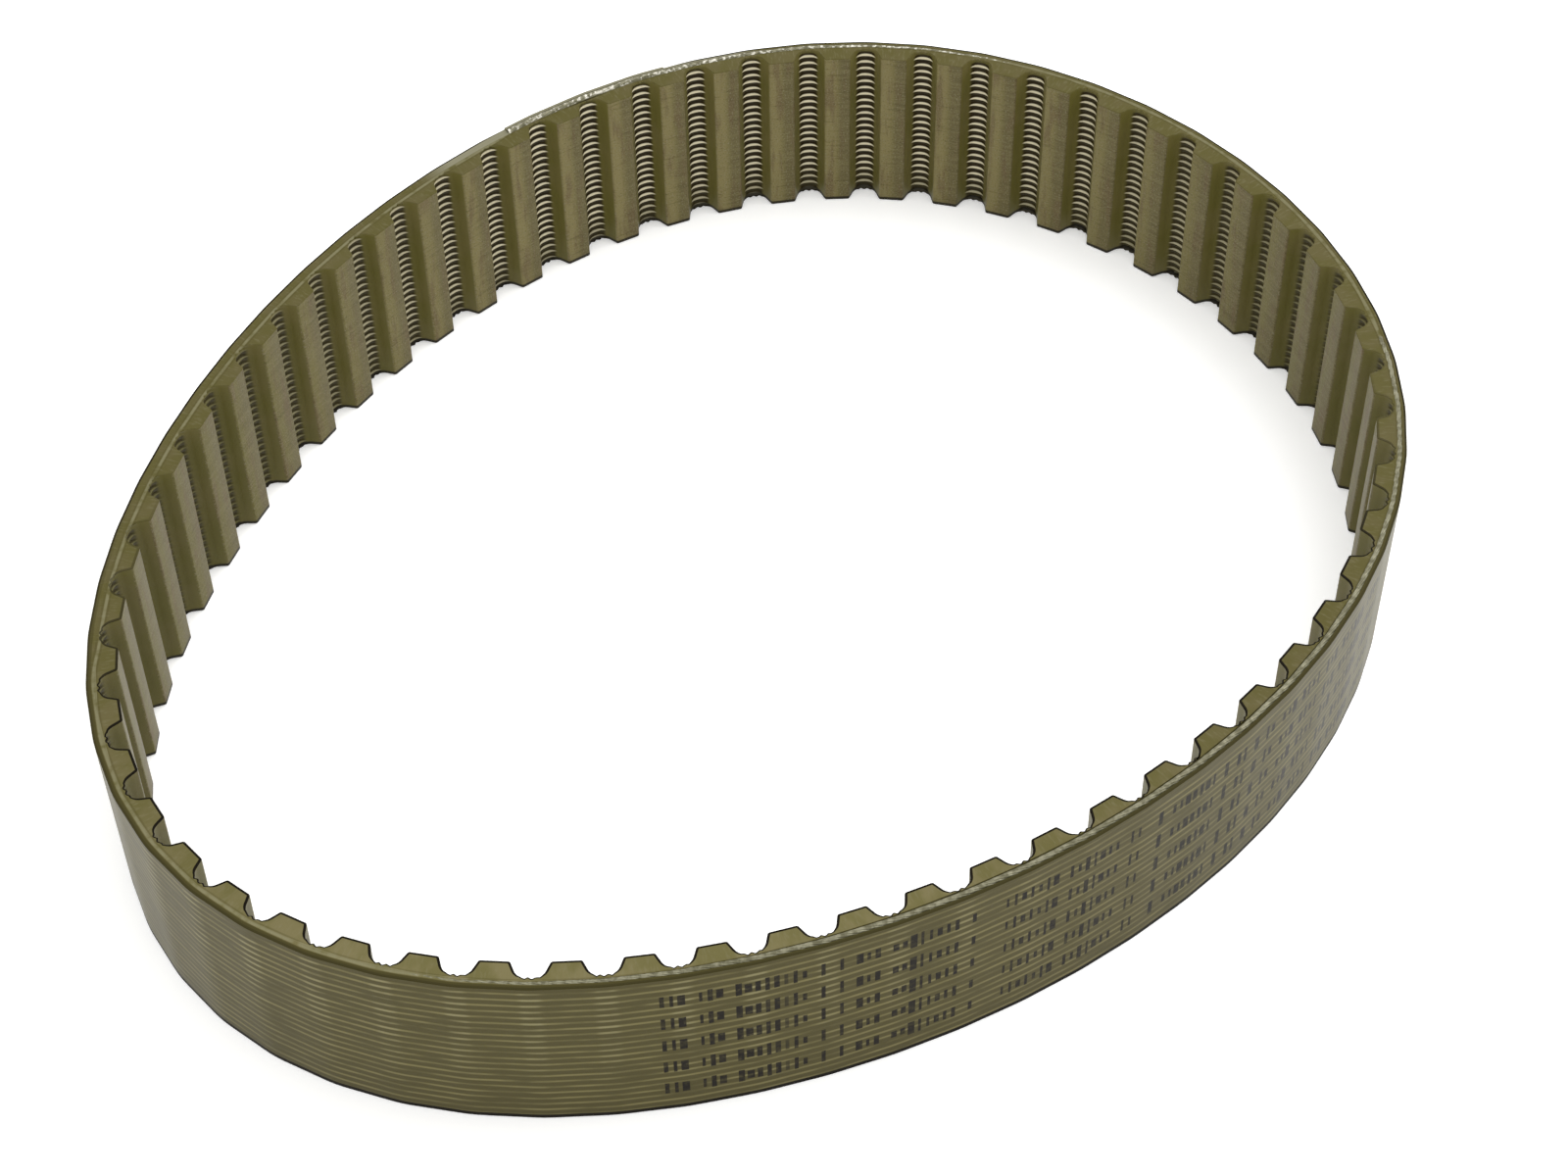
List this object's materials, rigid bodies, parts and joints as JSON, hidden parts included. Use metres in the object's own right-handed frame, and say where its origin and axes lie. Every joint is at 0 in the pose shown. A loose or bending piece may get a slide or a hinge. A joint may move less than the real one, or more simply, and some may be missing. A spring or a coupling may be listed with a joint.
{
  "type": "timing belt",
  "caption": "Endless translucent cast polyurethane timing belt with trapezoidal inner teeth and steel tension cords, lying on its edge in its free oval shape.",
  "frame": {"origin": "middle of the loop's bounding box, on the side edge that the belt stands on", "axes": "+Z across the belt's width from the edge it stands on, +X along the oval's long axis towards its blunt end"},
  "size_m": [0.2134, 0.1706, 0.032],
  "materials": {
    "polyurethane": "translucent olive cast polyurethane, satin, slightly milky",
    "cord_steel": "bright stranded steel wire"
  },
  "bodies": {
    "segment_55": {"tooth_segment_55": "polyurethane"},
    "segment_56": {"tooth_segment_56": "polyurethane"},
    "segment_57": {"tooth_segment_57": "polyurethane"},
    "segment_58": {"tooth_segment_58": "polyurethane"},
    "segment_59": {"tooth_segment_59": "polyurethane"},
    "segment_00": {"tooth_segment_00": "polyurethane"},
    "segment_01": {"tooth_segment_01": "polyurethane"},
    "segment_02": {"tooth_segment_02": "polyurethane"},
    "segment_03": {"tooth_segment_03": "polyurethane"},
    "segment_04": {"tooth_segment_04": "polyurethane"},
    "segment_05_06": {"tooth_segment_05_06": "polyurethane"},
    "segment_07": {"tooth_segment_07": "polyurethane"},
    "segment_08": {"tooth_segment_08": "polyurethane"},
    "segment_09": {"tooth_segment_09": "polyurethane"},
    "segment_10": {"tooth_segment_10": "polyurethane"},
    "segment_11": {"tooth_segment_11": "polyurethane"},
    "segment_12": {"tooth_segment_12": "polyurethane"},
    "segment_13": {"tooth_segment_13": "polyurethane"},
    "segment_14": {"tooth_segment_14": "polyurethane"},
    "segment_15": {"tooth_segment_15": "polyurethane"},
    "segment_16": {"tooth_segment_16": "polyurethane"},
    "segment_17": {"tooth_segment_17": "polyurethane"},
    "segment_18": {"tooth_segment_18": "polyurethane"},
    "segment_19": {"tooth_segment_19": "polyurethane"},
    "segment_20": {"tooth_segment_20": "polyurethane"},
    "segment_21": {"tooth_segment_21": "polyurethane"},
    "segment_22": {"tooth_segment_22": "polyurethane"},
    "segment_23": {"tooth_segment_23": "polyurethane"},
    "segment_24": {"tooth_segment_24": "polyurethane", "tension_cord_s": "cord_steel", "tension_cord_z": "cord_steel"},
    "segment_25_26": {"tooth_segment_25_26": "polyurethane"},
    "segment_27": {"tooth_segment_27": "polyurethane"},
    "segment_28": {"tooth_segment_28": "polyurethane"},
    "segment_29": {"tooth_segment_29": "polyurethane"},
    "segment_30": {"tooth_segment_30": "polyurethane"},
    "segment_31": {"tooth_segment_31": "polyurethane"},
    "segment_32": {"tooth_segment_32": "polyurethane"},
    "segment_33": {"tooth_segment_33": "polyurethane"},
    "segment_34_35": {"tooth_segment_34_35": "polyurethane"},
    "segment_36": {"tooth_segment_36": "polyurethane"},
    "segment_37": {"tooth_segment_37": "polyurethane"},
    "segment_38": {"tooth_segment_38": "polyurethane"},
    "segment_39": {"tooth_segment_39": "polyurethane"},
    "segment_40": {"tooth_segment_40": "polyurethane"},
    "segment_41": {"tooth_segment_41": "polyurethane"},
    "segment_42": {"tooth_segment_42": "polyurethane"},
    "segment_43": {"tooth_segment_43": "polyurethane"},
    "segment_44": {"tooth_segment_44": "polyurethane"},
    "segment_45": {"tooth_segment_45": "polyurethane"},
    "segment_46": {"tooth_segment_46": "polyurethane"},
    "segment_47": {"tooth_segment_47": "polyurethane"},
    "segment_48": {"tooth_segment_48": "polyurethane"},
    "segment_49": {"tooth_segment_49": "polyurethane"},
    "segment_50": {"tooth_segment_50": "polyurethane"},
    "segment_51": {"tooth_segment_51": "polyurethane"},
    "segment_52": {"tooth_segment_52": "polyurethane"},
    "segment_53": {"tooth_segment_53": "polyurethane"},
    "segment_54": {"tooth_segment_54": "polyurethane"}
  },
  "joints": [
    {"name": "flex_gap_24", "type": "hinge", "parent": "segment_24", "child": "segment_25_26", "pos_m": [-0.08277, 0.04828, 0], "axis": [0, 0, 1], "range_deg": [-6.35, 1.59], "stiffness_Nm_per_rad": 0.13},
    {"name": "flex_gap_26", "type": "hinge", "parent": "segment_25_26", "child": "segment_27", "pos_m": [-0.09564, 0.03303, 0], "axis": [0, 0, 1], "range_deg": [-1.24, 4.94], "stiffness_Nm_per_rad": 0.13},
    {"name": "flex_gap_27", "type": "hinge", "parent": "segment_27", "child": "segment_28", "pos_m": [-0.10045, 0.02426, 0], "axis": [0, 0, 1], "range_deg": [-3.37, 13.48], "stiffness_Nm_per_rad": 0.13},
    {"name": "flex_gap_28", "type": "hinge", "parent": "segment_28", "child": "segment_29", "pos_m": [-0.10383, 0.01485, 0], "axis": [0, 0, 1], "range_deg": [-3.31, 13.24], "stiffness_Nm_per_rad": 0.13},
    {"name": "belt_flex", "type": "hinge", "parent": "segment_29", "child": "segment_30", "pos_m": [-0.10558, 0.005, 0], "axis": [0, 0, 1], "range_deg": [-3.35, 13.39], "stiffness_Nm_per_rad": 0.13, "deforming": ["tension_cord_s", "tension_cord_z"]},
    {"name": "flex_gap_30", "type": "hinge", "parent": "segment_30", "child": "segment_31", "pos_m": [-0.10558, -0.005, 0], "axis": [0, 0, 1], "range_deg": [-3.35, 13.39], "stiffness_Nm_per_rad": 0.13},
    {"name": "flex_gap_31", "type": "hinge", "parent": "segment_31", "child": "segment_32", "pos_m": [-0.10383, -0.01485, 0], "axis": [0, 0, 1], "range_deg": [-3.31, 13.24], "stiffness_Nm_per_rad": 0.13},
    {"name": "flex_gap_32", "type": "hinge", "parent": "segment_32", "child": "segment_33", "pos_m": [-0.10045, -0.02426, 0], "axis": [0, 0, 1], "range_deg": [-3.37, 13.48], "stiffness_Nm_per_rad": 0.13},
    {"name": "flex_gap_33", "type": "hinge", "parent": "segment_33", "child": "segment_34_35", "pos_m": [-0.09564, -0.03303, 0], "axis": [0, 0, 1], "range_deg": [-1.24, 4.94], "stiffness_Nm_per_rad": 0.13},
    {"name": "flex_gap_35", "type": "hinge", "parent": "segment_34_35", "child": "segment_36", "pos_m": [-0.08277, -0.04828, 0], "axis": [0, 0, 1], "range_deg": [-6.35, 1.59], "stiffness_Nm_per_rad": 0.13},
    {"name": "flex_gap_36", "type": "hinge", "parent": "segment_36", "child": "segment_37", "pos_m": [-0.07515, -0.05476, 0], "axis": [0, 0, 1], "range_deg": [-5.5, 1.38], "stiffness_Nm_per_rad": 0.13},
    {"name": "flex_gap_37", "type": "hinge", "parent": "segment_37", "child": "segment_38", "pos_m": [-0.06699, -0.06054, 0], "axis": [0, 0, 1], "range_deg": [-4.86, 1.22], "stiffness_Nm_per_rad": 0.13},
    {"name": "flex_gap_38", "type": "hinge", "parent": "segment_38", "child": "segment_39", "pos_m": [-0.0584, -0.06567, 0], "axis": [0, 0, 1], "range_deg": [-4.43, 1.11], "stiffness_Nm_per_rad": 0.13},
    {"name": "flex_gap_39", "type": "hinge", "parent": "segment_39", "child": "segment_40", "pos_m": [-0.04948, -0.07017, 0], "axis": [0, 0, 1], "range_deg": [-4.2, 1.05], "stiffness_Nm_per_rad": 0.13},
    {"name": "flex_gap_40", "type": "hinge", "parent": "segment_40", "child": "segment_41", "pos_m": [-0.04027, -0.07408, 0], "axis": [0, 0, 1], "range_deg": [-4.1, 1.03], "stiffness_Nm_per_rad": 0.13},
    {"name": "flex_gap_41", "type": "hinge", "parent": "segment_41", "child": "segment_42", "pos_m": [-0.03083, -0.07739, 0], "axis": [0, 0, 1], "range_deg": [-4.1, 1.03], "stiffness_Nm_per_rad": 0.13},
    {"name": "flex_gap_42", "type": "hinge", "parent": "segment_42", "child": "segment_43", "pos_m": [-0.0212, -0.08008, 0], "axis": [0, 0, 1], "range_deg": [-4.16, 1.04], "stiffness_Nm_per_rad": 0.13},
    {"name": "flex_gap_43", "type": "hinge", "parent": "segment_43", "child": "segment_44", "pos_m": [-0.01141, -0.08213, 0], "axis": [0, 0, 1], "range_deg": [-4.26, 1.06], "stiffness_Nm_per_rad": 0.13},
    {"name": "flex_gap_44", "type": "hinge", "parent": "segment_44", "child": "segment_45", "pos_m": [-0.00151, -0.08352, 0], "axis": [0, 0, 1], "range_deg": [-4.4, 1.1], "stiffness_Nm_per_rad": 0.13},
    {"name": "flex_gap_45", "type": "hinge", "parent": "segment_45", "child": "segment_46", "pos_m": [0.00847, -0.08421, 0], "axis": [0, 0, 1], "range_deg": [-4.61, 1.15], "stiffness_Nm_per_rad": 0.13},
    {"name": "flex_gap_46", "type": "hinge", "parent": "segment_46", "child": "segment_47", "pos_m": [0.01847, -0.08417, 0], "axis": [0, 0, 1], "range_deg": [-4.65, 1.16], "stiffness_Nm_per_rad": 0.13},
    {"name": "flex_gap_47", "type": "hinge", "parent": "segment_47", "child": "segment_48", "pos_m": [0.02843, -0.08334, 0], "axis": [0, 0, 1], "range_deg": [-4.58, 1.15], "stiffness_Nm_per_rad": 0.13},
    {"name": "flex_gap_48", "type": "hinge", "parent": "segment_48", "child": "segment_49", "pos_m": [0.03829, -0.08167, 0], "axis": [0, 0, 1], "range_deg": [-4.6, 1.15], "stiffness_Nm_per_rad": 0.13},
    {"name": "flex_gap_49", "type": "hinge", "parent": "segment_49", "child": "segment_50", "pos_m": [0.04795, -0.07908, 0], "axis": [0, 0, 1], "range_deg": [-4.7, 1.18], "stiffness_Nm_per_rad": 0.13},
    {"name": "flex_gap_50", "type": "hinge", "parent": "segment_50", "child": "segment_51", "pos_m": [0.05729, -0.07552, 0], "axis": [0, 0, 1], "range_deg": [-4.88, 1.22], "stiffness_Nm_per_rad": 0.13},
    {"name": "flex_gap_51", "type": "hinge", "parent": "segment_51", "child": "segment_52", "pos_m": [0.06618, -0.07094, 0], "axis": [0, 0, 1], "range_deg": [-5.13, 1.28], "stiffness_Nm_per_rad": 0.13},
    {"name": "flex_gap_52", "type": "hinge", "parent": "segment_52", "child": "segment_53", "pos_m": [0.07447, -0.06534, 0], "axis": [0, 0, 1], "range_deg": [-5.46, 1.37], "stiffness_Nm_per_rad": 0.13},
    {"name": "flex_gap_53", "type": "hinge", "parent": "segment_53", "child": "segment_54", "pos_m": [0.08199, -0.05876, 0], "axis": [0, 0, 1], "range_deg": [-5.6, 1.4], "stiffness_Nm_per_rad": 0.13},
    {"name": "flex_gap_23", "type": "hinge", "parent": "segment_24", "child": "segment_23", "pos_m": [-0.07515, 0.05476, 0], "axis": [0, 0, -1], "range_deg": [-5.5, 1.38], "stiffness_Nm_per_rad": 0.13},
    {"name": "flex_gap_22", "type": "hinge", "parent": "segment_23", "child": "segment_22", "pos_m": [-0.06699, 0.06054, 0], "axis": [0, 0, -1], "range_deg": [-4.86, 1.22], "stiffness_Nm_per_rad": 0.13},
    {"name": "flex_gap_21", "type": "hinge", "parent": "segment_22", "child": "segment_21", "pos_m": [-0.0584, 0.06567, 0], "axis": [0, 0, -1], "range_deg": [-4.43, 1.11], "stiffness_Nm_per_rad": 0.13},
    {"name": "flex_gap_20", "type": "hinge", "parent": "segment_21", "child": "segment_20", "pos_m": [-0.04948, 0.07017, 0], "axis": [0, 0, -1], "range_deg": [-4.2, 1.05], "stiffness_Nm_per_rad": 0.13},
    {"name": "flex_gap_19", "type": "hinge", "parent": "segment_20", "child": "segment_19", "pos_m": [-0.04027, 0.07408, 0], "axis": [0, 0, -1], "range_deg": [-4.1, 1.03], "stiffness_Nm_per_rad": 0.13},
    {"name": "flex_gap_18", "type": "hinge", "parent": "segment_19", "child": "segment_18", "pos_m": [-0.03083, 0.07739, 0], "axis": [0, 0, -1], "range_deg": [-4.1, 1.03], "stiffness_Nm_per_rad": 0.13},
    {"name": "flex_gap_17", "type": "hinge", "parent": "segment_18", "child": "segment_17", "pos_m": [-0.0212, 0.08008, 0], "axis": [0, 0, -1], "range_deg": [-4.16, 1.04], "stiffness_Nm_per_rad": 0.13},
    {"name": "flex_gap_16", "type": "hinge", "parent": "segment_17", "child": "segment_16", "pos_m": [-0.01141, 0.08213, 0], "axis": [0, 0, -1], "range_deg": [-4.26, 1.06], "stiffness_Nm_per_rad": 0.13},
    {"name": "flex_gap_15", "type": "hinge", "parent": "segment_16", "child": "segment_15", "pos_m": [-0.00151, 0.08352, 0], "axis": [0, 0, -1], "range_deg": [-4.4, 1.1], "stiffness_Nm_per_rad": 0.13},
    {"name": "flex_gap_14", "type": "hinge", "parent": "segment_15", "child": "segment_14", "pos_m": [0.00847, 0.08421, 0], "axis": [0, 0, -1], "range_deg": [-4.61, 1.15], "stiffness_Nm_per_rad": 0.13},
    {"name": "flex_gap_13", "type": "hinge", "parent": "segment_14", "child": "segment_13", "pos_m": [0.01847, 0.08417, 0], "axis": [0, 0, -1], "range_deg": [-4.65, 1.16], "stiffness_Nm_per_rad": 0.13},
    {"name": "flex_gap_12", "type": "hinge", "parent": "segment_13", "child": "segment_12", "pos_m": [0.02843, 0.08334, 0], "axis": [0, 0, -1], "range_deg": [-4.58, 1.15], "stiffness_Nm_per_rad": 0.13},
    {"name": "flex_gap_11", "type": "hinge", "parent": "segment_12", "child": "segment_11", "pos_m": [0.03829, 0.08167, 0], "axis": [0, 0, -1], "range_deg": [-4.6, 1.15], "stiffness_Nm_per_rad": 0.13},
    {"name": "flex_gap_10", "type": "hinge", "parent": "segment_11", "child": "segment_10", "pos_m": [0.04795, 0.07908, 0], "axis": [0, 0, -1], "range_deg": [-4.7, 1.18], "stiffness_Nm_per_rad": 0.13},
    {"name": "flex_gap_09", "type": "hinge", "parent": "segment_10", "child": "segment_09", "pos_m": [0.05729, 0.07552, 0], "axis": [0, 0, -1], "range_deg": [-4.88, 1.22], "stiffness_Nm_per_rad": 0.13},
    {"name": "flex_gap_08", "type": "hinge", "parent": "segment_09", "child": "segment_08", "pos_m": [0.06618, 0.07094, 0], "axis": [0, 0, -1], "range_deg": [-5.13, 1.28], "stiffness_Nm_per_rad": 0.13},
    {"name": "flex_gap_07", "type": "hinge", "parent": "segment_08", "child": "segment_07", "pos_m": [0.07447, 0.06534, 0], "axis": [0, 0, -1], "range_deg": [-5.46, 1.37], "stiffness_Nm_per_rad": 0.13},
    {"name": "flex_gap_06", "type": "hinge", "parent": "segment_07", "child": "segment_05_06", "pos_m": [0.08199, 0.05876, 0], "axis": [0, 0, -1], "range_deg": [-5.6, 1.4], "stiffness_Nm_per_rad": 0.13},
    {"name": "flex_gap_04", "type": "hinge", "parent": "segment_05_06", "child": "segment_04", "pos_m": [0.09423, 0.04299, 0], "axis": [0, 0, -1], "range_deg": [-2.38, 9.51], "stiffness_Nm_per_rad": 0.13},
    {"name": "flex_gap_03", "type": "hinge", "parent": "segment_04", "child": "segment_03", "pos_m": [0.09877, 0.03408, 0], "axis": [0, 0, -1], "range_deg": [-2.37, 9.47], "stiffness_Nm_per_rad": 0.13},
    {"name": "flex_gap_02", "type": "hinge", "parent": "segment_03", "child": "segment_02", "pos_m": [0.10217, 0.02467, 0], "axis": [0, 0, -1], "range_deg": [-2.3, 9.21], "stiffness_Nm_per_rad": 0.13},
    {"name": "flex_gap_01", "type": "hinge", "parent": "segment_02", "child": "segment_01", "pos_m": [0.10444, 0.01494, 0], "axis": [0, 0, -1], "range_deg": [-2.2, 8.8], "stiffness_Nm_per_rad": 0.13},
    {"name": "flex_gap_00", "type": "hinge", "parent": "segment_01", "child": "segment_00", "pos_m": [0.10558, 0.005, 0], "axis": [0, 0, -1], "range_deg": [-2.13, 8.51], "stiffness_Nm_per_rad": 0.13},
    {"name": "flex_gap_59", "type": "hinge", "parent": "segment_00", "child": "segment_59", "pos_m": [0.10558, -0.005, 0], "axis": [0, 0, -1], "range_deg": [-2.13, 8.51], "stiffness_Nm_per_rad": 0.13},
    {"name": "flex_gap_58", "type": "hinge", "parent": "segment_59", "child": "segment_58", "pos_m": [0.10444, -0.01494, 0], "axis": [0, 0, -1], "range_deg": [-2.2, 8.8], "stiffness_Nm_per_rad": 0.13},
    {"name": "flex_gap_57", "type": "hinge", "parent": "segment_58", "child": "segment_57", "pos_m": [0.10217, -0.02467, 0], "axis": [0, 0, -1], "range_deg": [-2.3, 9.21], "stiffness_Nm_per_rad": 0.13},
    {"name": "flex_gap_56", "type": "hinge", "parent": "segment_57", "child": "segment_56", "pos_m": [0.09877, -0.03408, 0], "axis": [0, 0, -1], "range_deg": [-2.37, 9.47], "stiffness_Nm_per_rad": 0.13},
    {"name": "flex_gap_55", "type": "hinge", "parent": "segment_56", "child": "segment_55", "pos_m": [0.09423, -0.04299, 0], "axis": [0, 0, -1], "range_deg": [-2.38, 9.51], "stiffness_Nm_per_rad": 0.13}
  ],
  "couplings": [
    {"joint": "flex_gap_24", "follows": "belt_flex", "ratio": -0.4745},
    {"joint": "flex_gap_26", "follows": "belt_flex", "ratio": 0.36911},
    {"joint": "flex_gap_27", "follows": "belt_flex", "ratio": 1.007},
    {"joint": "flex_gap_28", "follows": "belt_flex", "ratio": 0.98903},
    {"joint": "flex_gap_30", "follows": "belt_flex", "ratio": 1},
    {"joint": "flex_gap_31", "follows": "belt_flex", "ratio": 0.98903},
    {"joint": "flex_gap_32", "follows": "belt_flex", "ratio": 1.007},
    {"joint": "flex_gap_33", "follows": "belt_flex", "ratio": 0.36911},
    {"joint": "flex_gap_35", "follows": "belt_flex", "ratio": -0.4745},
    {"joint": "flex_gap_36", "follows": "belt_flex", "ratio": -0.41097},
    {"joint": "flex_gap_37", "follows": "belt_flex", "ratio": -0.36283},
    {"joint": "flex_gap_38", "follows": "belt_flex", "ratio": -0.33095},
    {"joint": "flex_gap_39", "follows": "belt_flex", "ratio": -0.31337},
    {"joint": "flex_gap_40", "follows": "belt_flex", "ratio": -0.30647},
    {"joint": "flex_gap_41", "follows": "belt_flex", "ratio": -0.30648},
    {"joint": "flex_gap_42", "follows": "belt_flex", "ratio": -0.31064},
    {"joint": "flex_gap_43", "follows": "belt_flex", "ratio": -0.31784},
    {"joint": "flex_gap_44", "follows": "belt_flex", "ratio": -0.32855},
    {"joint": "flex_gap_45", "follows": "belt_flex", "ratio": -0.34423},
    {"joint": "flex_gap_46", "follows": "belt_flex", "ratio": -0.34701},
    {"joint": "flex_gap_47", "follows": "belt_flex", "ratio": -0.34212},
    {"joint": "flex_gap_48", "follows": "belt_flex", "ratio": -0.34348},
    {"joint": "flex_gap_49", "follows": "belt_flex", "ratio": -0.35097},
    {"joint": "flex_gap_50", "follows": "belt_flex", "ratio": -0.36413},
    {"joint": "flex_gap_51", "follows": "belt_flex", "ratio": -0.38283},
    {"joint": "flex_gap_52", "follows": "belt_flex", "ratio": -0.40793},
    {"joint": "flex_gap_53", "follows": "belt_flex", "ratio": -0.4179},
    {"joint": "flex_gap_23", "follows": "belt_flex", "ratio": -0.41097},
    {"joint": "flex_gap_22", "follows": "belt_flex", "ratio": -0.36283},
    {"joint": "flex_gap_21", "follows": "belt_flex", "ratio": -0.33095},
    {"joint": "flex_gap_20", "follows": "belt_flex", "ratio": -0.31337},
    {"joint": "flex_gap_19", "follows": "belt_flex", "ratio": -0.30647},
    {"joint": "flex_gap_18", "follows": "belt_flex", "ratio": -0.30648},
    {"joint": "flex_gap_17", "follows": "belt_flex", "ratio": -0.31064},
    {"joint": "flex_gap_16", "follows": "belt_flex", "ratio": -0.31784},
    {"joint": "flex_gap_15", "follows": "belt_flex", "ratio": -0.32855},
    {"joint": "flex_gap_14", "follows": "belt_flex", "ratio": -0.34423},
    {"joint": "flex_gap_13", "follows": "belt_flex", "ratio": -0.34701},
    {"joint": "flex_gap_12", "follows": "belt_flex", "ratio": -0.34212},
    {"joint": "flex_gap_11", "follows": "belt_flex", "ratio": -0.34348},
    {"joint": "flex_gap_10", "follows": "belt_flex", "ratio": -0.35097},
    {"joint": "flex_gap_09", "follows": "belt_flex", "ratio": -0.36413},
    {"joint": "flex_gap_08", "follows": "belt_flex", "ratio": -0.38283},
    {"joint": "flex_gap_07", "follows": "belt_flex", "ratio": -0.40793},
    {"joint": "flex_gap_06", "follows": "belt_flex", "ratio": -0.4179},
    {"joint": "flex_gap_04", "follows": "belt_flex", "ratio": 0.71051},
    {"joint": "flex_gap_03", "follows": "belt_flex", "ratio": 0.70753},
    {"joint": "flex_gap_02", "follows": "belt_flex", "ratio": 0.68747},
    {"joint": "flex_gap_01", "follows": "belt_flex", "ratio": 0.65703},
    {"joint": "flex_gap_00", "follows": "belt_flex", "ratio": 0.63553},
    {"joint": "flex_gap_59", "follows": "belt_flex", "ratio": 0.63553},
    {"joint": "flex_gap_58", "follows": "belt_flex", "ratio": 0.65703},
    {"joint": "flex_gap_57", "follows": "belt_flex", "ratio": 0.68747},
    {"joint": "flex_gap_56", "follows": "belt_flex", "ratio": 0.70753},
    {"joint": "flex_gap_55", "follows": "belt_flex", "ratio": 0.71051}
  ]
}
